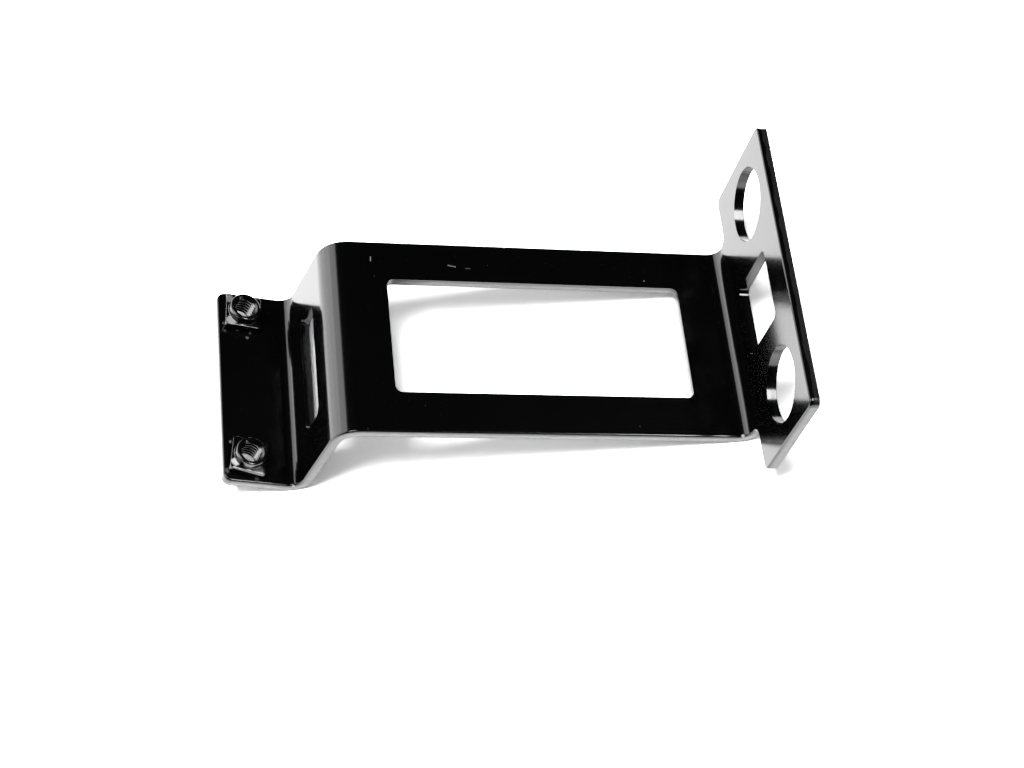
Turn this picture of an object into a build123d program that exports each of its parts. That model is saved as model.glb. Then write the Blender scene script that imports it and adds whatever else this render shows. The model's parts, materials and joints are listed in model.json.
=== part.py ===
"""Rack mount ear bracket: a folded steel strip with two square-footed threaded bushes on its tab.

The strip has four runs: a mounting tab, a riser, a plate with a long window, and a rack ear.
It is drawn with the plate level, then laid down as it rests: on the tab fold and the ear fold.
Lengths of the runs are measured between the sharp corners that their upper faces would make.
"""
from build123d import *
import math
import os

os.makedirs("parts", exist_ok=True)

# Sheet
SHEET_T = 1.4
STRIP_WIDTH = 30.0
EDGE_R = 0.25           # roll-over that the blanking cut leaves round the upper side's outline
FOLD_R = 1.8            # inner radius of the tab fold and the ear fold
SHOULDER_R = 2.6        # inner radius of the wider fold between riser and plate

# Runs of the strip, seen from the near side
TAB_LENGTH = 10.5
RISER_LENGTH = 16.3
PLATE_LENGTH = 57.0
EAR_HEIGHT = 21.6       # from the plate's upper face to the ear's free edge
RISER_LEAN = 10.4       # degrees that the riser splays out from square; the tab is square to it

# Rack ear
EAR_LENGTH = 44.0
EAR_LOBE_Z = 3.3        # the lobes' lower edge, above the plate's upper face
EAR_CORNER_R = 1.0
NECK_R = 1.5            # fillet where the strip runs into a lobe
EAR_HOLE_D = 10.4
EAR_HOLE_FROM_END = 7.65
EAR_HOLE_FROM_TOP = 8.0
SQUARE_HOLE = 10.7
SQUARE_HOLE_FROM_TOP = 10.8
SQUARE_CORNER_R = 0.9

# Plate window
WINDOW_LENGTH = 41.7
WINDOW_WIDTH = 17.8
WINDOW_FROM_EAR = 7.0
WINDOW_CORNER_R = 1.0

# Riser slot, centred across the strip
SLOT_LENGTH = 17.6
SLOT_HEIGHT = 5.5
SLOT_FROM_PLATE = 9.2   # from the plate's upper face down the riser to the slot's middle
SLOT_CORNER_R = 1.5

# Mounting tab
TAB_CORNER_R = 1.2

# Threaded bushes: a square foot on the tab, a round collar, and a spigot pressed through the sheet
BUSH_SPACING = 23.0
BUSH_FROM_EDGE = 3.35   # from the tab's free edge to the bush axis
FOOT_SIDE = 5.0
FOOT_T = 1.3
FOOT_CORNER_R = 0.3
FOOT_EDGE_R = 0.08
NEAR_FOOT_TURN = -7.5   # degrees that each foot sits askew on the tab
FAR_FOOT_TURN = -3.5
COLLAR_D = 4.3
COLLAR_TOP = 2.5        # above the tab
COLLAR_RIM_R = 0.22
COLLAR_BASE_R = 0.25    # paint-filled corner between collar and foot
SPIGOT_D = 4.2          # fills the tab's hole
THREAD_BORE_D = 2.9     # crests of the M3.5 thread
MOUTH_CHAMFER = 0.25

# Directions of the runs in the side view
lean = math.radians(RISER_LEAN)
riser_down = Vector(-math.sin(lean), 0, -math.cos(lean))
tab_out = Vector(-math.cos(lean), 0, math.sin(lean))
tab_up = Vector(math.sin(lean), 0, math.cos(lean))
strip_across = Vector(0, 1, 0)

# Sharp corners of the upper faces, with the shoulder corner at the origin
shoulder = Vector(0, 0, 0)
tab_fold = shoulder + riser_down * RISER_LENGTH
tab_end = tab_fold + tab_out * TAB_LENGTH
ear_fold = Vector(PLATE_LENGTH, 0, 0)
ear_top = ear_fold + Vector(0, 0, EAR_HEIGHT)

# The sheet's upper side in the side view, from the tab's free edge to the ear's
upper_line = FilletPolyline(
    tab_end, tab_fold, shoulder, ear_fold, ear_top,
    radius=[FOLD_R, SHOULDER_R + SHEET_T, FOLD_R],
)

# Bend centres of the two folds that the part rests on
outer_fold_r = FOLD_R + SHEET_T
tab_fold_centre = tab_fold + (tab_out - riser_down) * FOLD_R
ear_fold_centre = ear_fold + Vector(-FOLD_R, 0, FOLD_R)


def through_cut(plane, length, width, corner_r):
    """A rounded rectangle that cuts through the sheet on both sides of the plane."""
    outline = plane * RectangleRounded(length, width, corner_r)
    return extrude(outline, amount=2 * SHEET_T, both=True)


def ear_plane(z, y=0.0):
    """A plane on the ear's inner face, z above the plate and y from the strip's middle."""
    return Plane(origin=ear_fold + Vector(0, y, z), x_dir=strip_across, z_dir=(1, 0, 0))


def make_strip():
    """The plain folded strip, cut from one width of sheet."""
    section = make_face(offset(upper_line, amount=SHEET_T, side=Side.LEFT))
    return extrude(section, amount=STRIP_WIDTH / 2, both=True, dir=(0, 1, 0))


def make_ear_blade():
    """The rack ear above the neck, wider than the strip."""
    height = EAR_HEIGHT - EAR_LOBE_Z
    face = ear_plane(EAR_LOBE_Z + height / 2)
    return extrude(face * RectangleRounded(EAR_LENGTH, height, EAR_CORNER_R), amount=SHEET_T)


def make_neck():
    """Fillets that run the strip's edges out into the lobes' lower edges."""
    width = STRIP_WIDTH + 2 * NECK_R
    web = extrude(ear_plane(EAR_LOBE_Z - NECK_R / 2) * Rectangle(width, NECK_R), amount=SHEET_T)
    for side in (-1, 1):
        corner = ear_plane(EAR_LOBE_Z - NECK_R, side * width / 2)
        web -= extrude(corner * Circle(NECK_R), amount=SHEET_T)
    return web


def bush_plane(side):
    """The tab's upper face at a bush axis, its normal up along the bush."""
    foot = tab_end - tab_out * BUSH_FROM_EDGE + strip_across * (side * BUSH_SPACING / 2)
    return Plane(origin=foot, x_dir=strip_across, z_dir=tab_up)


def make_sheet():
    """The whole folded sheet with its openings."""
    sheet = make_strip() + make_ear_blade() + make_neck()
    sheet = fillet(tab_corner_edges(sheet), TAB_CORNER_R)
    sheet = fillet(rolled_edges(sheet), EDGE_R)

    for side in (-1, 1):
        hole_middle = ear_plane(EAR_HEIGHT - EAR_HOLE_FROM_TOP, side * (EAR_LENGTH / 2 - EAR_HOLE_FROM_END))
        sheet -= extrude(hole_middle * Circle(EAR_HOLE_D / 2), amount=2 * SHEET_T, both=True)
    square_middle = ear_plane(EAR_HEIGHT - SQUARE_HOLE_FROM_TOP)
    sheet -= through_cut(square_middle, SQUARE_HOLE, SQUARE_HOLE, SQUARE_CORNER_R)

    window_middle = ear_fold - Vector(WINDOW_FROM_EAR + WINDOW_LENGTH / 2, 0, 0)
    sheet -= through_cut(Plane(window_middle), WINDOW_LENGTH, WINDOW_WIDTH, WINDOW_CORNER_R)

    slot_middle = shoulder + riser_down * SLOT_FROM_PLATE
    slot_face = Plane(origin=slot_middle, x_dir=strip_across, z_dir=tab_out)
    sheet -= through_cut(slot_face, SLOT_LENGTH, SLOT_HEIGHT, SLOT_CORNER_R)

    for side in (-1, 1):
        sheet -= extrude(bush_plane(side) * Circle(SPIGOT_D / 2), amount=2 * SHEET_T, both=True)
    return sheet


def tab_corner_edges(sheet):
    """The two edges through the sheet at the tab's free end."""
    near_enough = SHEET_T / 100

    def at_corner(edge):
        middle = edge.center()
        through = abs(edge.length - SHEET_T) < near_enough
        on_free_edge = abs((middle - tab_end).dot(tab_out)) < near_enough
        on_side = abs(abs(middle.Y) - STRIP_WIDTH / 2) < near_enough
        return through and on_free_edge and on_side

    return sheet.edges().filter_by(at_corner)


def rolled_edges(sheet):
    """The edges where the upper side ends, all round the blank."""
    near_enough = SHEET_T / 100

    def on_upper_side(face):
        middle = face.center()
        return upper_line.distance_to(Vector(middle.X, 0, middle.Z)) < near_enough

    edges = [edge for face in sheet.faces().filter_by(on_upper_side) for edge in face.edges()]
    return [edge for edge in edges if sum(edge.is_same(other) for other in edges) == 1]


def make_bush(side, foot_turn):
    """A threaded bush, its square foot turned by some degrees on the tab."""
    seat = bush_plane(side)
    upwards = Axis(seat.origin, seat.z_dir)

    def on_collar(edge):
        return abs(edge.radius - COLLAR_D / 2) < COLLAR_RIM_R / 100

    def at_mouth(edge):
        return abs(edge.radius - THREAD_BORE_D / 2) < MOUTH_CHAMFER / 100

    foot = extrude(seat * Rot(0, 0, foot_turn) * RectangleRounded(FOOT_SIDE, FOOT_SIDE, FOOT_CORNER_R), FOOT_T)
    foot = fillet(foot.edges().group_by(upwards)[-1], FOOT_EDGE_R)
    collar = extrude(seat * Circle(COLLAR_D / 2), amount=COLLAR_TOP)
    collar = fillet(collar.edges().group_by(upwards)[-1], COLLAR_RIM_R)
    spigot = extrude(seat * Circle(SPIGOT_D / 2), amount=-SHEET_T)

    bush = foot + collar
    bush = fillet(bush.edges().filter_by(GeomType.CIRCLE).filter_by(on_collar).group_by(upwards)[0], COLLAR_BASE_R)
    bush += spigot
    bush -= extrude(seat * Circle(THREAD_BORE_D / 2), amount=2 * (COLLAR_TOP + SHEET_T), both=True)
    return chamfer(bush.edges().filter_by(GeomType.CIRCLE).filter_by(at_mouth), MOUTH_CHAMFER)


def laid_down(piece):
    """Turns a piece so that both folds touch the floor, and sets it over the origin."""
    return resting_place * piece


# The lie: the line between the two bend centres becomes level
fold_to_fold = ear_fold_centre - tab_fold_centre
rest_tilt = math.degrees(math.atan2(fold_to_fold.Z, fold_to_fold.X))
turned = Rot(0, rest_tilt, 0)

sheet = make_sheet()
turned_box = (turned * sheet).bounding_box()
floor_z = (turned * Pos(ear_fold_centre)).position.Z - outer_fold_r
middle = turned_box.center()
resting_place = Pos(-middle.X, -middle.Y, -floor_z) * turned

nodes = {
    "folded_sheet": sheet,
    "threaded_bush_near": make_bush(-1, NEAR_FOOT_TURN),
    "threaded_bush_far": make_bush(1, FAR_FOOT_TURN),
}
for name, piece in nodes.items():
    export_step(laid_down(piece), f"parts/{name}.step")
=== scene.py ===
"""Looks of the rack mount ear bracket: its gloss black coat, cut edges, threaded bushes and a pale table."""
import json
import math

import bpy
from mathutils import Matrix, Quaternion, Vector


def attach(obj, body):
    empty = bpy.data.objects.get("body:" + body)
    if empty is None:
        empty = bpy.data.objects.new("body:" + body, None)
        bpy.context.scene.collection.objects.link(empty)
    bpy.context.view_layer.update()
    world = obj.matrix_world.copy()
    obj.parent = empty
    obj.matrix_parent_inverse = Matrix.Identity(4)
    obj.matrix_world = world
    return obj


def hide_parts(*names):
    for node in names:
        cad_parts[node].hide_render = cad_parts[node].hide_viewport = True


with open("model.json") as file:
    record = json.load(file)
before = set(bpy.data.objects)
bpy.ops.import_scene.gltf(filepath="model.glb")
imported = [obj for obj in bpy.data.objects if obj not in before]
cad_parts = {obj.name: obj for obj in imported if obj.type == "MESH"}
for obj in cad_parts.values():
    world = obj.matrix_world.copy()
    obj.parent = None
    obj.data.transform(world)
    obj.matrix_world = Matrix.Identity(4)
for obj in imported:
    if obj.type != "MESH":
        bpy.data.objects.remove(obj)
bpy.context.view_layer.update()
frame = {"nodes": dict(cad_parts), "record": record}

MM = 0.001
PER_MM = 1000.0

# Camera, read off the photograph
CAMERA_PLACE = Vector((-2.889, -146.383, 256.691)) * MM
CAMERA_TARGET = Vector((1.188, -2.071, 0.0)) * MM
CAMERA_ROLL = math.radians(-4.744)
CAMERA_LENS = 73.857
CAMERA_CLIP_START = 0.01
CAMERA_CLIP_END = 20.0

# The folded sheet, in millimetres, as it lies on the table
SHEET_T = 1.4
ROLL_OVER_R = 0.25
FOLD_R = 1.8                # inner radius of the tab fold and the ear fold
SHOULDER_R = 4.0            # outer radius of the shoulder fold
PLATE_LENGTH = 57.0
RISER_LENGTH = 16.3
EAR_HEIGHT = 21.6
EAR_LENGTH = 44.0
EAR_LOBE_Z = 3.3
REST_TILT = math.radians(14.7937)
RISER_LEAN = math.radians(10.4)
SHOULDER_CORNER = Vector((-22.4719, 0.0, 15.5544))
PLATE_ALONG = Vector((math.cos(REST_TILT), 0.0, -math.sin(REST_TILT)))
PLATE_UP = Vector((math.sin(REST_TILT), 0.0, math.cos(REST_TILT)))
TAB_UP = Vector((math.sin(REST_TILT + RISER_LEAN), 0.0, math.cos(REST_TILT + RISER_LEAN)))
TAB_OUT = Vector((-TAB_UP.z, 0.0, TAB_UP.x))
TAB_FOLD_CORNER = SHOULDER_CORNER - TAB_UP * RISER_LENGTH
TAB_HEIGHT = TAB_FOLD_CORNER.dot(TAB_UP)    # of the tab's upper face, along its own normal
STRIP_ACROSS = Vector((0.0, 1.0, 0.0))

# The threaded bushes, in millimetres, heights above the tab's upper face
FOOT_SIDE = 5.0
FOOT_T = 1.3
FOOT_CORNER_R = 0.3
FOOT_EDGE_R = 0.08
COLLAR_R = 2.15
COLLAR_TOP = 2.5
COLLAR_RIM_R = 0.22
COLLAR_BASE_R = 0.25
SPIGOT_R = 2.1
THREAD_CREST_R = 1.45
THREAD_DEPTH = 0.3
THREAD_PITCH = 0.6
MOUTH_CHAMFER = 0.25
BUSHES = {
    "near": {"mount": "tab_thread_near", "node": "threaded_bush_near", "turn": math.radians(-7.5)},
    "far": {"mount": "tab_thread_far", "node": "threaded_bush_far", "turn": math.radians(-3.5)},
}

# Where a thread's crest ends, and its root starts and ends, in parts of a pitch
CREST_END = 0.25
ROOT_START = 0.56
ROOT_END = 0.69

# How finely a bush is drawn
BUSH_SIDES = 144
ROWS_PER_PITCH = 16
RIM_STEPS = 6
FOOT_EDGE_STEPS = 3
CREASE_ANGLE = math.radians(32)

# Colours
SHEET_BLACK = (0.0015, 0.0015, 0.0016, 1.0)
TORN_METAL = (0.02, 0.02, 0.021, 1.0)
SHEET_SPECK = (0.03, 0.03, 0.03, 1.0)
# Grey of the pale marks, also used for the painted highlights at the near ends of the folds
SHEET_MARK_AND_HIGHLIGHT = (0.6, 0.6, 0.6, 1.0)
BUSH_BLACK = (0.003, 0.003, 0.0032, 1.0)
BUSH_SPECK = (0.06, 0.06, 0.06, 1.0)
BUSH_MARK = (0.85, 0.85, 0.85, 1.0)
WHITE = (1.0, 1.0, 1.0, 1.0)

# Polish, and what torn metal, specks and marks add to the roughness
SHEET_ROUGHNESS = 0.14
SHEET_UNEVENNESS = 0.03
SHEET_IOR = 1.52
BUSH_ROUGHNESS = 0.12
BUSH_UNEVENNESS = 0.08
BUSH_IOR = 1.6
TORN_ROUGHNESS = 0.06
SPECK_ROUGHNESS = 0.4
SHEET_MARK_AND_HIGHLIGHT_ROUGHNESS = 0.3
BUSH_MARK_ROUGHNESS = 0.4

# Uneven polish and ripple of the coat: noise scales per millimetre, height in millimetres
NOISE_MIDDLE = 0.5
CLOUD_SCALE = 0.16
FINE_SCALE = 2.4
FINE_SHARE = 0.6
RIPPLE_SCALE = 0.8
RIPPLE_HEIGHT = 0.0004

# Dust, in millimetres
DUST_SPACING = 2.6
DUST_SIZE = 0.1
DUST_CORE = 0.4             # part of a speck that is fully covered
DUST_LEFT_OUT = 0.72        # part of the places for a speck that stay clean
BUSH_DUST_SPACING = 1.1
BUSH_DUST_SIZE = 0.09
BUSH_DUST_HEIGHT = 0.01

# Cut edges, in millimetres, noise scales per millimetre
CUT_START = ROLL_OVER_R * 0.8
CUT_FULL = ROLL_OVER_R * 1.4
BACK_START = SHEET_T - 0.1
BACK_FULL = SHEET_T - 0.03
BORDER_SCALE = 0.45         # of the wavy line where torn metal begins
BORDER_SWING = 0.9
BORDER_DEPTH = 0.12
TORN_FADE = 0.12
TORN_SLOPE = -0.1
STREAK_STRETCH = 0.5
STREAKS_PER_MM = 3.0
STREAK_HEIGHT = 0.03
GRAIN_SCALE = 2.2
GRAIN_DETAIL_SHARE = 0.6
GRAIN_HEIGHT = 0.015
HOLE_FADE_START = 0.4       # how far inside the ear's outline its holes are told apart
HOLE_FADE_END = 0.8
HOLE_COARSENESS = 0.1       # of the ear's hole walls, against 1 for other cuts

# Tool rings on the bushes, in millimetres
RING_STRETCH = 0.15
RINGS_PER_MM = 9.0
RING_HEIGHT = 0.006
FOOT_TOP_BAND = COLLAR_BASE_R / 4

# Pale marks: how ragged, and where the fading begins in parts of the reach
MARK_NOISE_SCALE = 3.0
MARK_RAGGEDNESS = 0.5
MARK_CORE = 0.55
DASH_DOTS = 6

# The table and the room
TABLE_SIZE = 6.0
TABLE_DROP = 0.02 * MM
TABLE_COLOUR = 0.8
TABLE_LIFT = 3.4            # added to the table's colour where the camera or the gloss sees it
ROOM_LIGHT = 0.18
ROOM_IN_GLOSS = 0.0

# Lamps: degrees of azimuth and elevation, metres, and brightness
SOFTBOXES = {
    "overhead": {
        "azimuth": -103.9, "elevation": 77.7, "distance": 0.9,
        "width": 0.416, "height": 0.416, "brightness": 11.8, "in_gloss_only": False,
    },
    "left_panel_low": {
        "azimuth": -74, "elevation": 12, "distance": 0.8,
        "width": 1.39, "height": 0.47, "brightness": 4.2, "in_gloss_only": True,
    },
    "left_panel_high": {
        "azimuth": -74, "elevation": 40, "distance": 0.8,
        "width": 0.98, "height": 0.37, "brightness": 3.3, "in_gloss_only": True,
    },
    "right_strip": {
        "azimuth": 89, "elevation": 54, "distance": 0.8,
        "width": 0.384, "height": 0.1, "brightness": 24.0, "in_gloss_only": True,
    },
}
FIRST_REFLECTION_DEPTH = 2.5    # ray depth that a lamp's first reflection stays below


def dash(start, end, reach, strength):
    """A dash as a row of small marks."""
    start = Vector(start)
    end = Vector(end)
    return [(start.lerp(end, k / (DASH_DOTS - 1)), reach, strength) for k in range(DASH_DOTS)]


# Small marks that the photograph shows: middle and reach in millimetres, and how strong
SHEET_MARKS_AND_HIGHLIGHTS = [
    *dash((-16.42, 11.8, 13.95), (-16.38, 12.45, 13.95), 0.11, 0.45),
    *dash((-5.9, 11.5, 11.18), (-4.95, 11.3, 10.93), 0.12, 0.45),
    *dash((-3.5, 11.1, 10.55), (-2.95, 11.08, 10.4), 0.1, 0.15),
    ((21.35, 10.02, 3.98), 0.14, 0.4),
    ((-35.17, 7.96, 3.51), 0.3, 0.25),
    ((-34.77, 8.76, 3.33), 0.22, 0.12),
    ((-36.45, 9.0, 4.12), 0.22, 0.08),
    ((-38.05, 9.9, 4.87), 0.4, 0.35),
    ((-38.09, 8.69, 4.89), 0.28, 0.1),
    ((-37.88, -9.05, 4.79), 0.32, 0.35),
    ((-38.45, -13.47, 5.06), 0.45, 0.15),
    ((-34.74, -14.4, 3.31), 0.35, 0.1),
    # Painted highlights: bright dots at the near ends of the tab fold and the ear fold
    ((-30.07, -14.93, 1.13), 0.3, 1.0),
    ((31.75, -14.87, 1.4), 0.3, 1.0),
]
BUSH_MARKS = [
    ((-36.99, 9.75, 5.8), 0.9, 0.55),
    ((-37.12, 13.3, 5.87), 0.75, 0.3),
    ((-37.2, -12.75, 5.9), 0.7, 1.0),
    ((-34.3, -13.75, 4.5), 0.95, 0.12),
]


# Small tools for node trees

def feed(tree, socket, value):
    """Links another node's output to a socket, or sets the socket's own value."""
    if isinstance(value, bpy.types.NodeSocket):
        tree.links.new(value, socket)
    else:
        socket.default_value = value


def add(tree, kind, inputs=None, **settings):
    """Adds a node with its settings and inputs."""
    node = tree.nodes.new(kind)
    for name, value in settings.items():
        setattr(node, name, value)
    for name, value in (inputs or {}).items():
        feed(tree, node.inputs[name], value)
    return node


def calc(tree, operation, *values):
    """The result of one Math node."""
    node = add(tree, "ShaderNodeMath", operation=operation)
    for socket, value in zip(node.inputs, values):
        feed(tree, socket, value)
    return node.outputs[0]


def one_minus(tree, value):
    """What is left of 1."""
    return calc(tree, "SUBTRACT", 1.0, value)


def hypotenuse(tree, first, second):
    """The long side over two sides at a right angle."""
    second_squared = calc(tree, "MULTIPLY", second, second)
    return calc(tree, "SQRT", calc(tree, "MULTIPLY_ADD", first, first, second_squared))


def along(tree, place, direction):
    """How far a place lies along a direction."""
    node = add(tree, "ShaderNodeVectorMath", operation="DOT_PRODUCT")
    feed(tree, node.inputs[0], place)
    feed(tree, node.inputs[1], direction)
    return node.outputs["Value"]


def shifted(tree, place, origin):
    """A place measured from another origin."""
    node = add(tree, "ShaderNodeVectorMath", operation="SUBTRACT")
    feed(tree, node.inputs[0], place)
    feed(tree, node.inputs[1], origin)
    return node.outputs["Vector"]


def scaled(tree, place, factor):
    """A place multiplied by a number."""
    node = add(tree, "ShaderNodeVectorMath", operation="SCALE", inputs={"Scale": factor})
    feed(tree, node.inputs[0], place)
    return node.outputs["Vector"]


def rise(tree, value, low, high):
    """A smooth step from 0 at low to 1 at high."""
    node = add(tree, "ShaderNodeMapRange", interpolation_type="SMOOTHSTEP")
    feed(tree, node.inputs["Value"], value)
    feed(tree, node.inputs["From Min"], low)
    feed(tree, node.inputs["From Max"], high)
    return node.outputs["Result"]


def noise(tree, place, scale, detail, detail_share=0.5):
    """Smooth noise over a place, around NOISE_MIDDLE."""
    node = add(tree, "ShaderNodeTexNoise", noise_dimensions="3D")
    feed(tree, node.inputs["Vector"], place)
    feed(tree, node.inputs["Scale"], scale)
    feed(tree, node.inputs["Detail"], detail)
    feed(tree, node.inputs["Roughness"], detail_share)
    return node.outputs["Fac"]


def layered_noise(tree, place, layer, detail):
    """Noise whose fourth coordinate is a layer value, so that streaks follow the layers."""
    node = add(tree, "ShaderNodeTexNoise", noise_dimensions="4D")
    feed(tree, node.inputs["Vector"], place)
    feed(tree, node.inputs["W"], layer)
    feed(tree, node.inputs["Scale"], 1.0)
    feed(tree, node.inputs["Detail"], detail)
    return node.outputs["Fac"]


def new_group(name, inputs, outputs):
    """An empty node group with named sockets, and its input and output nodes."""
    group = bpy.data.node_groups.new(name, "ShaderNodeTree")
    for socket_name, kind, value in inputs:
        socket = group.interface.new_socket(socket_name, in_out="INPUT", socket_type=kind)
        if value is not None:
            socket.default_value = value
    for socket_name, kind in outputs:
        group.interface.new_socket(socket_name, in_out="OUTPUT", socket_type=kind)
    return group, group.nodes.new("NodeGroupInput"), group.nodes.new("NodeGroupOutput")


def use_group(tree, group, inputs):
    """Places a node group in a material."""
    node = tree.nodes.new("ShaderNodeGroup")
    node.node_tree = group
    for name, value in inputs.items():
        feed(tree, node.inputs[name], value)
    return node.outputs


# Effects, each a node group

def make_coat_haze():
    """Uneven polish of the black coat: a roughness, and a very slight ripple in millimetres."""
    group, given, result = new_group(
        "coat_haze",
        [
            ("Place", "NodeSocketVector", None),
            ("Roughness", "NodeSocketFloat", SHEET_ROUGHNESS),
            ("Unevenness", "NodeSocketFloat", SHEET_UNEVENNESS),
            ("Ripple Height", "NodeSocketFloat", RIPPLE_HEIGHT),
        ],
        [("Roughness", "NodeSocketFloat"), ("Ripple", "NodeSocketFloat")],
    )
    place = given.outputs["Place"]
    cloud = calc(group, "SUBTRACT", noise(group, place, CLOUD_SCALE, 3.0), NOISE_MIDDLE)
    fine = calc(group, "SUBTRACT", noise(group, place, FINE_SCALE, 2.0), NOISE_MIDDLE)
    uneven = calc(group, "MULTIPLY_ADD", fine, FINE_SHARE, cloud)
    roughness = calc(group, "MULTIPLY_ADD", uneven, given.outputs["Unevenness"], given.outputs["Roughness"])
    ripple = calc(group, "MULTIPLY", noise(group, place, RIPPLE_SCALE, 1.0), given.outputs["Ripple Height"])
    feed(group, result.inputs["Roughness"], roughness)
    feed(group, result.inputs["Ripple"], ripple)
    return group


def make_dust():
    """Sparse specks of dust: a mask that is 1 on a speck."""
    group, given, result = new_group(
        "dust",
        [
            ("Place", "NodeSocketVector", None),
            ("Spacing", "NodeSocketFloat", DUST_SPACING),
            ("Speck Size", "NodeSocketFloat", DUST_SIZE),
        ],
        [("Mask", "NodeSocketFloat")],
    )
    cells = add(group, "ShaderNodeTexVoronoi", feature="F1")
    feed(group, cells.inputs["Vector"], given.outputs["Place"])
    feed(group, cells.inputs["Scale"], calc(group, "DIVIDE", 1.0, given.outputs["Spacing"]))
    reach = calc(group, "DIVIDE", given.outputs["Speck Size"], given.outputs["Spacing"])
    core = calc(group, "MULTIPLY", reach, DUST_CORE)
    speck = one_minus(group, rise(group, cells.outputs["Distance"], core, reach))
    draw = along(group, cells.outputs["Color"], (1.0, 0.0, 0.0))
    chosen = calc(group, "GREATER_THAN", draw, DUST_LEFT_OUT)
    feed(group, result.inputs["Mask"], calc(group, "MULTIPLY", speck, chosen))
    return group


def make_marks(name, marks):
    """Ragged pale marks at given places: a mask that is 1 on a full mark."""
    group, given, result = new_group(
        name,
        [("Place", "NodeSocketVector", None), ("Raggedness", "NodeSocketFloat", MARK_RAGGEDNESS)],
        [("Mask", "NodeSocketFloat")],
    )
    place = given.outputs["Place"]
    ragged = calc(group, "SUBTRACT", noise(group, place, MARK_NOISE_SCALE, 3.0), NOISE_MIDDLE)
    ragged = calc(group, "MULTIPLY", ragged, given.outputs["Raggedness"])
    mask = 0.0
    for middle, reach, strength in marks:
        away = add(group, "ShaderNodeVectorMath", operation="DISTANCE")
        feed(group, away.inputs[0], place)
        feed(group, away.inputs[1], middle)
        spread = calc(group, "MULTIPLY_ADD", away.outputs["Value"], 1.0 / reach, ragged)
        covered = one_minus(group, rise(group, spread, MARK_CORE, 1.0))
        mark = calc(group, "MULTIPLY", covered, strength)
        mask = calc(group, "MAXIMUM", mark, mask)
    feed(group, result.inputs["Mask"], mask)
    return group


def make_sheet_depth():
    """How deep a place lies under the folded sheet's upper face, in millimetres."""
    group, given, result = new_group(
        "sheet_depth",
        [("Place", "NodeSocketVector", None)],
        [("Depth", "NodeSocketFloat")],
    )
    place = given.outputs["Place"]

    def under_inner_fold(beyond_wall, above_floor):
        """Depth under two faces that meet in an inner fold of radius FOLD_R."""
        past = calc(group, "MAXIMUM", calc(group, "ADD", beyond_wall, FOLD_R), 0.0)
        below = calc(group, "MAXIMUM", calc(group, "SUBTRACT", FOLD_R, above_floor), 0.0)
        return calc(group, "SUBTRACT", hypotenuse(group, past, below), FOLD_R)

    from_shoulder = shifted(group, place, SHOULDER_CORNER)
    to_ear = calc(group, "SUBTRACT", along(group, from_shoulder, PLATE_ALONG), PLATE_LENGTH)
    under_plate_and_ear = under_inner_fold(to_ear, along(group, from_shoulder, PLATE_UP))

    from_tab_fold = shifted(group, place, TAB_FOLD_CORNER)
    into_riser = along(group, from_tab_fold, -TAB_OUT)
    under_tab_and_riser = under_inner_fold(into_riser, along(group, from_tab_fold, TAB_UP))
    flat_depth = calc(group, "MINIMUM", under_plate_and_ear, under_tab_and_riser)

    half_turn = (math.pi / 2 - RISER_LEAN) / 2
    corner_to_centre = (PLATE_ALONG - TAB_UP).normalized() * (SHOULDER_R / math.cos(half_turn))
    from_bend = shifted(group, place, SHOULDER_CORNER + corner_to_centre)
    level = along(group, from_bend, PLATE_UP)
    sideways = along(group, from_bend, PLATE_ALONG)
    left_of_plate = calc(group, "LESS_THAN", sideways, 0.0)
    above_riser = calc(group, "GREATER_THAN", along(group, from_bend, TAB_UP), 0.0)
    in_bend = calc(group, "MULTIPLY", left_of_plate, above_riser)
    bend_depth = calc(group, "SUBTRACT", SHOULDER_R, hypotenuse(group, level, sideways))
    step = calc(group, "SUBTRACT", bend_depth, flat_depth)
    feed(group, result.inputs["Depth"], calc(group, "MULTIPLY_ADD", step, in_bend, flat_depth))
    return group


# Materials

def new_material(name):
    """A material with an empty tree, and its Principled shader joined to the output."""
    material = bpy.data.materials.new(name)
    material.use_nodes = True
    tree = material.node_tree
    tree.nodes.clear()
    shader = tree.nodes.new("ShaderNodeBsdfPrincipled")
    out = tree.nodes.new("ShaderNodeOutputMaterial")
    tree.links.new(shader.outputs["BSDF"], out.inputs["Surface"])
    return material, tree, shader


def place_in_mm(tree):
    """Where a point of the piece lies, in millimetres."""
    return scaled(tree, add(tree, "ShaderNodeTexCoord").outputs["Object"], PER_MM)


def mixed_colour(tree, factor, first, second):
    """A colour between two others."""
    node = add(tree, "ShaderNodeMix", data_type="RGBA")
    feed(tree, node.inputs["Factor"], factor)
    feed(tree, node.inputs[6], first)
    feed(tree, node.inputs[7], second)
    return node.outputs[2]


def raise_surface(tree, shader, height):
    """Bumps a shader's surface by a height in millimetres."""
    bump = add(tree, "ShaderNodeBump", {"Height": calc(tree, "MULTIPLY", height, MM), "Distance": 1.0})
    feed(tree, shader.inputs["Normal"], bump.outputs["Normal"])


def edge_coarseness(tree, place):
    """How coarse a cut edge is: the ear's holes have smoother walls than the other cuts."""
    across = calc(tree, "ABSOLUTE", along(tree, place, STRIP_ACROSS))
    above_plate = along(tree, shifted(tree, place, SHOULDER_CORNER), PLATE_UP)
    above_neck = rise(tree, above_plate, EAR_LOBE_Z + HOLE_FADE_START, EAR_LOBE_Z + HOLE_FADE_END)
    to_free_edge = calc(tree, "SUBTRACT", EAR_HEIGHT, above_plate)
    to_end = calc(tree, "SUBTRACT", EAR_LENGTH / 2, across)
    to_outline = calc(tree, "MINIMUM", to_free_edge, to_end)
    from_outline = rise(tree, to_outline, HOLE_FADE_START, HOLE_FADE_END)
    in_ear_hole = calc(tree, "MULTIPLY", above_neck, from_outline)
    return calc(tree, "MULTIPLY_ADD", in_ear_hole, HOLE_COARSENESS - 1.0, 1.0)


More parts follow.
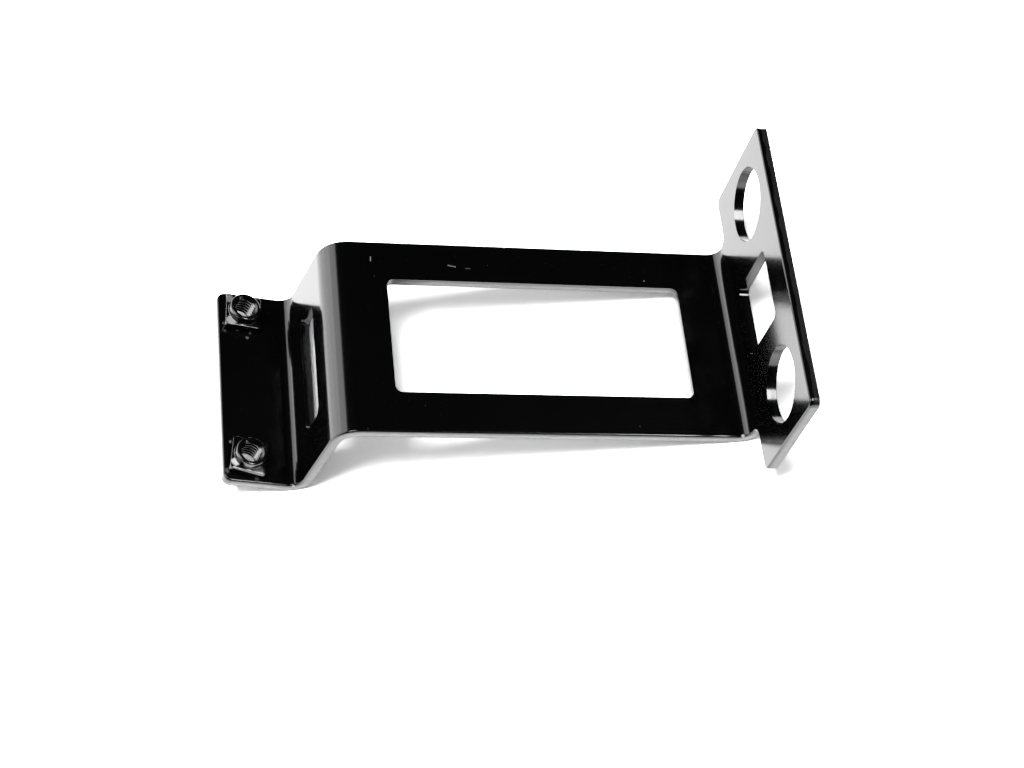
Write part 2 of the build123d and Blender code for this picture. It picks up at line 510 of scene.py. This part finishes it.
def make_gloss_black_sheet(coat_haze, dust, sheet_marks_and_highlights, sheet_depth):
    """Gloss black coat on the sheet, with streaked, torn metal on its cut edges."""
    material, tree, shader = new_material("gloss_black_sheet")
    place = place_in_mm(tree)
    haze = use_group(tree, coat_haze, {
        "Place": place, "Roughness": SHEET_ROUGHNESS, "Unevenness": SHEET_UNEVENNESS})
    specks = use_group(tree, dust, {"Place": place})["Mask"]
    marks = use_group(tree, sheet_marks_and_highlights, {"Place": place})["Mask"]
    depth = use_group(tree, sheet_depth, {"Place": place})["Depth"]
    coarse = edge_coarseness(tree, place)

    # Where an edge is cut, and how much of it is torn
    below_roll = rise(tree, depth, CUT_START, CUT_FULL)
    above_back = one_minus(tree, rise(tree, depth, BACK_START, BACK_FULL))
    cut = calc(tree, "MULTIPLY", below_roll, above_back)
    wave = noise(tree, place, BORDER_SCALE, 3.0)
    border = calc(tree, "MULTIPLY_ADD", wave, BORDER_SWING, BORDER_DEPTH)
    below_border = calc(tree, "SUBTRACT", depth, border)
    torn = calc(tree, "MULTIPLY", cut, rise(tree, below_border, 0.0, TORN_FADE))
    torn = calc(tree, "MULTIPLY", torn, coarse)

    # Relief of the cut edges
    layer = calc(tree, "MULTIPLY", depth, STREAKS_PER_MM)
    streaks = layered_noise(tree, scaled(tree, place, STREAK_STRETCH), layer, 3.0)
    grain = calc(tree, "MULTIPLY", noise(tree, place, GRAIN_SCALE, 3.0, GRAIN_DETAIL_SHARE), GRAIN_HEIGHT)
    relief = calc(tree, "MULTIPLY_ADD", streaks, STREAK_HEIGHT, grain)
    slope = calc(tree, "MULTIPLY", calc(tree, "MAXIMUM", below_border, 0.0), TORN_SLOPE)
    edge_height = calc(tree, "MULTIPLY", calc(tree, "ADD", relief, slope), cut)
    edge_height = calc(tree, "MULTIPLY", edge_height, coarse)

    colour = mixed_colour(tree, torn, SHEET_BLACK, TORN_METAL)
    colour = mixed_colour(tree, specks, colour, SHEET_SPECK)
    # The marks mask holds pale marks and also painted highlights at the near ends of the two inner folds
    colour = mixed_colour(tree, marks, colour, SHEET_MARK_AND_HIGHLIGHT)
    roughness = calc(tree, "MULTIPLY_ADD", torn, TORN_ROUGHNESS, haze["Roughness"])
    roughness = calc(tree, "MULTIPLY_ADD", marks, SHEET_MARK_AND_HIGHLIGHT_ROUGHNESS, roughness)
    roughness = calc(tree, "MULTIPLY_ADD", specks, SPECK_ROUGHNESS, roughness)
    feed(tree, shader.inputs["Base Color"], colour)
    feed(tree, shader.inputs["Roughness"], roughness)
    feed(tree, shader.inputs["IOR"], SHEET_IOR)
    raise_surface(tree, shader, calc(tree, "ADD", edge_height, haze["Ripple"]))
    return material


def make_gloss_black_bush(coat_haze, dust, bush_marks):
    """Black turned steel of the bushes, with fine tool rings."""
    material, tree, shader = new_material("gloss_black_bush")
    place = place_in_mm(tree)
    haze = use_group(tree, coat_haze, {
        "Place": place, "Roughness": BUSH_ROUGHNESS, "Unevenness": BUSH_UNEVENNESS})
    specks = use_group(tree, dust, {
        "Place": place, "Spacing": BUSH_DUST_SPACING, "Speck Size": BUSH_DUST_SIZE})["Mask"]

    height_on_axis = along(tree, place, TAB_UP)
    layer = calc(tree, "MULTIPLY", height_on_axis, RINGS_PER_MM)
    rings = layered_noise(tree, scaled(tree, place, RING_STRETCH), layer, 2.0)
    relief = calc(tree, "MULTIPLY_ADD", rings, RING_HEIGHT, haze["Ripple"])
    height = calc(tree, "MULTIPLY_ADD", specks, BUSH_DUST_HEIGHT, relief)

    # The marks lie on the feet's upper faces alone
    above_tab = calc(tree, "SUBTRACT", height_on_axis, TAB_HEIGHT)
    on_foot = calc(tree, "COMPARE", above_tab, FOOT_T, FOOT_TOP_BAND)
    marks = calc(tree, "MULTIPLY", use_group(tree, bush_marks, {"Place": place})["Mask"], on_foot)

    colour = mixed_colour(tree, specks, BUSH_BLACK, BUSH_SPECK)
    colour = mixed_colour(tree, marks, colour, BUSH_MARK)
    roughness = calc(tree, "MULTIPLY_ADD", specks, SPECK_ROUGHNESS, haze["Roughness"])
    roughness = calc(tree, "MULTIPLY_ADD", marks, BUSH_MARK_ROUGHNESS, roughness)
    feed(tree, shader.inputs["Base Color"], colour)
    feed(tree, shader.inputs["Roughness"], roughness)
    feed(tree, shader.inputs["IOR"], BUSH_IOR)
    raise_surface(tree, shader, height)
    return material


# The threaded bushes

def square_reach(half_side, corner_r, angle):
    """How far a square with round corners reaches from its middle at an angle."""
    eighth = math.pi / 4
    folded = abs((angle + eighth) % (2 * eighth) - eighth)
    flat = half_side - corner_r
    if math.tan(folded) <= flat / half_side:
        return half_side / math.cos(folded)
    to_corner = flat * math.sqrt(2)
    off = folded - eighth
    return to_corner * math.cos(off) + math.sqrt(corner_r ** 2 - (to_corner * math.sin(off)) ** 2)


def thread_reach(height, angle, low, high):
    """Radius of the threaded bore: flat crests and roots, running out at both mouths."""
    phase = (height / THREAD_PITCH - angle / (2 * math.pi)) % 1.0
    if phase < CREST_END:
        cut = 0.0
    elif phase < ROOT_START:
        cut = (phase - CREST_END) / (ROOT_START - CREST_END)
    elif phase < ROOT_END:
        cut = 1.0
    else:
        cut = (1.0 - phase) / (1.0 - ROOT_END)
    half_pitch = THREAD_PITCH / 2
    run_out = min(1.0, (height - low) / half_pitch, (high - height) / half_pitch)
    return THREAD_CREST_R + THREAD_DEPTH * cut * max(0.0, run_out)


def quarter_turn(steps):
    """Angles from 0 to a quarter turn."""
    return [math.pi / 2 * k / steps for k in range(steps + 1)]


def bush_rings(turn):
    """The bush's outline as rings of points, from the bore's foot up, over the rim and down outside."""
    angles = [2 * math.pi * k / BUSH_SIDES for k in range(BUSH_SIDES)]
    low = -SHEET_T + MOUTH_CHAMFER
    high = COLLAR_TOP - MOUTH_CHAMFER
    mouth_r = THREAD_CREST_R + MOUTH_CHAMFER
    half = FOOT_SIDE / 2
    rings = []

    def ring(height, reach):
        points = [(reach(a) * math.cos(a), reach(a) * math.sin(a), height) for a in angles]
        rings.append([Vector(p) for p in points])

    def circle(height, radius):
        ring(height, lambda a: radius)

    def square(height, inset):
        ring(height, lambda a: square_reach(half - inset, FOOT_CORNER_R - inset / 2, a - turn))

    rows = round((high - low) / THREAD_PITCH * ROWS_PER_PITCH)
    for k in range(rows + 1):
        z = low + (high - low) * k / rows
        ring(z, lambda a: thread_reach(z, a, low, high))
    circle(COLLAR_TOP, mouth_r)
    for bend in quarter_turn(RIM_STEPS):
        drop = COLLAR_RIM_R * (1 - math.cos(bend))
        circle(COLLAR_TOP - drop, COLLAR_R - COLLAR_RIM_R * (1 - math.sin(bend)))
    for bend in quarter_turn(RIM_STEPS):
        lift = COLLAR_BASE_R * (1 - math.sin(bend))
        circle(FOOT_T + lift, COLLAR_R + COLLAR_BASE_R * (1 - math.cos(bend)))
    for bend in quarter_turn(FOOT_EDGE_STEPS):
        drop = FOOT_EDGE_R * (1 - math.cos(bend))
        square(FOOT_T - drop, FOOT_EDGE_R * (1 - math.sin(bend)))
    square(0.0, 0.0)
    circle(0.0, SPIGOT_R)
    circle(-SHEET_T, SPIGOT_R)
    circle(-SHEET_T, mouth_r)
    return rings


def make_bush(name, facts, material):
    """One threaded bush, standing where the record puts its thread."""
    mount = next(m for m in frame["record"]["mounts"] if m["name"] == facts["mount"])
    axis = Vector(mount["axis"]).normalized()
    seat = Vector(mount["pos_m"]) - axis * ((COLLAR_TOP - SHEET_T) / 2 * MM)
    second = axis.cross(STRIP_ACROSS)

    rings = bush_rings(facts["turn"])
    points = [seat + (STRIP_ACROSS * p.x + second * p.y + axis * p.z) * MM for ring in rings for p in ring]
    faces = []
    for k in range(len(rings)):
        here = k * BUSH_SIDES
        there = (k + 1) % len(rings) * BUSH_SIDES
        for side in range(BUSH_SIDES):
            after = (side + 1) % BUSH_SIDES
            faces.append((here + after, here + side, there + side, there + after))

    mesh = bpy.data.meshes.new(name)
    mesh.from_pydata(points, [], faces)
    mesh.shade_smooth()
    mesh.set_sharp_from_angle(angle=CREASE_ANGLE)
    mesh.materials.append(material)
    bush = bpy.data.objects.new(name, mesh)
    bpy.context.scene.collection.objects.link(bush)
    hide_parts(facts["node"])
    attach(bush, "root")


# The table, the lamps, the room and the camera

def make_table():
    """A plain pale table that the camera and the gloss see as white, with the part's shadow on it."""
    half = TABLE_SIZE / 2
    mesh = bpy.data.meshes.new("table")
    corners = [(-half, -half), (half, -half), (half, half), (-half, half)]
    mesh.from_pydata([(x, y, -TABLE_DROP) for x, y in corners], [], [(0, 1, 2, 3)])
    table = bpy.data.objects.new("table", mesh)
    bpy.context.scene.collection.objects.link(table)

    material = bpy.data.materials.new("pale_table")
    material.use_nodes = True
    tree = material.node_tree
    tree.nodes.clear()
    ray = add(tree, "ShaderNodeLightPath")
    mirrored = calc(tree, "MAXIMUM", ray.outputs["Is Glossy Ray"], ray.outputs["Is Transmission Ray"])
    shown = calc(tree, "MAXIMUM", ray.outputs["Is Camera Ray"], mirrored)
    shade = calc(tree, "MULTIPLY_ADD", shown, TABLE_LIFT, TABLE_COLOUR)
    grey = add(tree, "ShaderNodeCombineColor", {"Red": shade, "Green": shade, "Blue": shade})
    matt = add(tree, "ShaderNodeBsdfDiffuse", {"Color": grey.outputs["Color"]})
    out = add(tree, "ShaderNodeOutputMaterial")
    tree.links.new(matt.outputs["BSDF"], out.inputs["Surface"])
    mesh.materials.append(material)


def direction(azimuth, elevation):
    """A direction from the part: azimuth 0 is away from the camera, 90 is to the right."""
    a = math.radians(azimuth)
    e = math.radians(elevation)
    return Vector((math.sin(a) * math.cos(e), math.cos(a) * math.cos(e), math.sin(e)))


def make_softbox(name, azimuth, elevation, distance, width, height, brightness, in_gloss_only):
    """A soft rectangular lamp that faces the part; brightness 1 is that of fully lit white."""
    lamp = bpy.data.lights.new(name, "AREA")
    lamp.shape = "RECTANGLE"
    lamp.size = width
    lamp.size_y = height
    lamp.energy = brightness * math.pi * width * height
    softbox = bpy.data.objects.new(name, lamp)
    towards = direction(azimuth, elevation)
    softbox.location = towards * distance
    softbox.rotation_mode = "QUATERNION"
    softbox.rotation_quaternion = (-towards).to_track_quat("-Z", "Y")
    softbox.visible_camera = False
    if in_gloss_only:
        softbox.visible_diffuse = False
        show_in_first_reflection(lamp)
    bpy.context.scene.collection.objects.link(softbox)


def show_in_first_reflection(lamp):
    """Dims a lamp in reflections of reflections, which the photograph's deep blacks swallow."""
    lamp.use_nodes = True
    tree = lamp.node_tree
    tree.nodes.clear()
    ray = add(tree, "ShaderNodeLightPath")
    first = calc(tree, "LESS_THAN", ray.outputs["Ray Depth"], FIRST_REFLECTION_DEPTH)
    glow = add(tree, "ShaderNodeEmission", {"Strength": first})
    out = add(tree, "ShaderNodeOutputLight")
    tree.links.new(glow.outputs["Emission"], out.inputs["Surface"])


def make_room():
    """A dim even room: white to the camera, dark in the gloss."""
    world = bpy.data.worlds.new("room")
    bpy.context.scene.world = world
    world.use_nodes = True
    tree = world.node_tree
    tree.nodes.clear()
    ray = add(tree, "ShaderNodeLightPath")
    seen = calc(tree, "MULTIPLY_ADD", ray.outputs["Is Camera Ray"], 1.0 - ROOM_LIGHT, ROOM_LIGHT)
    strength = calc(tree, "MULTIPLY_ADD", ray.outputs["Is Glossy Ray"], ROOM_IN_GLOSS - ROOM_LIGHT, seen)
    sky = add(tree, "ShaderNodeBackground", {"Color": WHITE, "Strength": strength})
    out = add(tree, "ShaderNodeOutputWorld")
    tree.links.new(sky.outputs["Background"], out.inputs["Surface"])


def make_camera():
    """The photograph's camera."""
    data = bpy.data.cameras.new("camera")
    data.lens = CAMERA_LENS
    data.clip_start = CAMERA_CLIP_START
    data.clip_end = CAMERA_CLIP_END
    camera = bpy.data.objects.new("camera", data)
    camera.location = CAMERA_PLACE
    camera.rotation_mode = "QUATERNION"
    level = (CAMERA_TARGET - CAMERA_PLACE).to_track_quat("-Z", "Y")
    camera.rotation_quaternion = level @ Quaternion((0.0, 0.0, 1.0), CAMERA_ROLL)
    bpy.context.scene.collection.objects.link(camera)
    bpy.context.scene.camera = camera


coat_haze = make_coat_haze()
dust = make_dust()
sheet_depth = make_sheet_depth()
sheet_marks_and_highlights = make_marks("sheet_marks_and_highlights", SHEET_MARKS_AND_HIGHLIGHTS)
bush_marks = make_marks("bush_marks", BUSH_MARKS)
gloss_black_sheet = make_gloss_black_sheet(coat_haze, dust, sheet_marks_and_highlights, sheet_depth)
gloss_black_bush = make_gloss_black_bush(coat_haze, dust, bush_marks)

sheet = frame["nodes"]["folded_sheet"]
sheet.data.materials.clear()
sheet.data.materials.append(gloss_black_sheet)
for name, facts in BUSHES.items():
    make_bush("bush_" + name, facts, gloss_black_bush)

make_table()
for name, facts in SOFTBOXES.items():
    make_softbox(name, **facts)
make_room()
make_camera()
bpy.context.scene.view_settings.view_transform = "Standard"
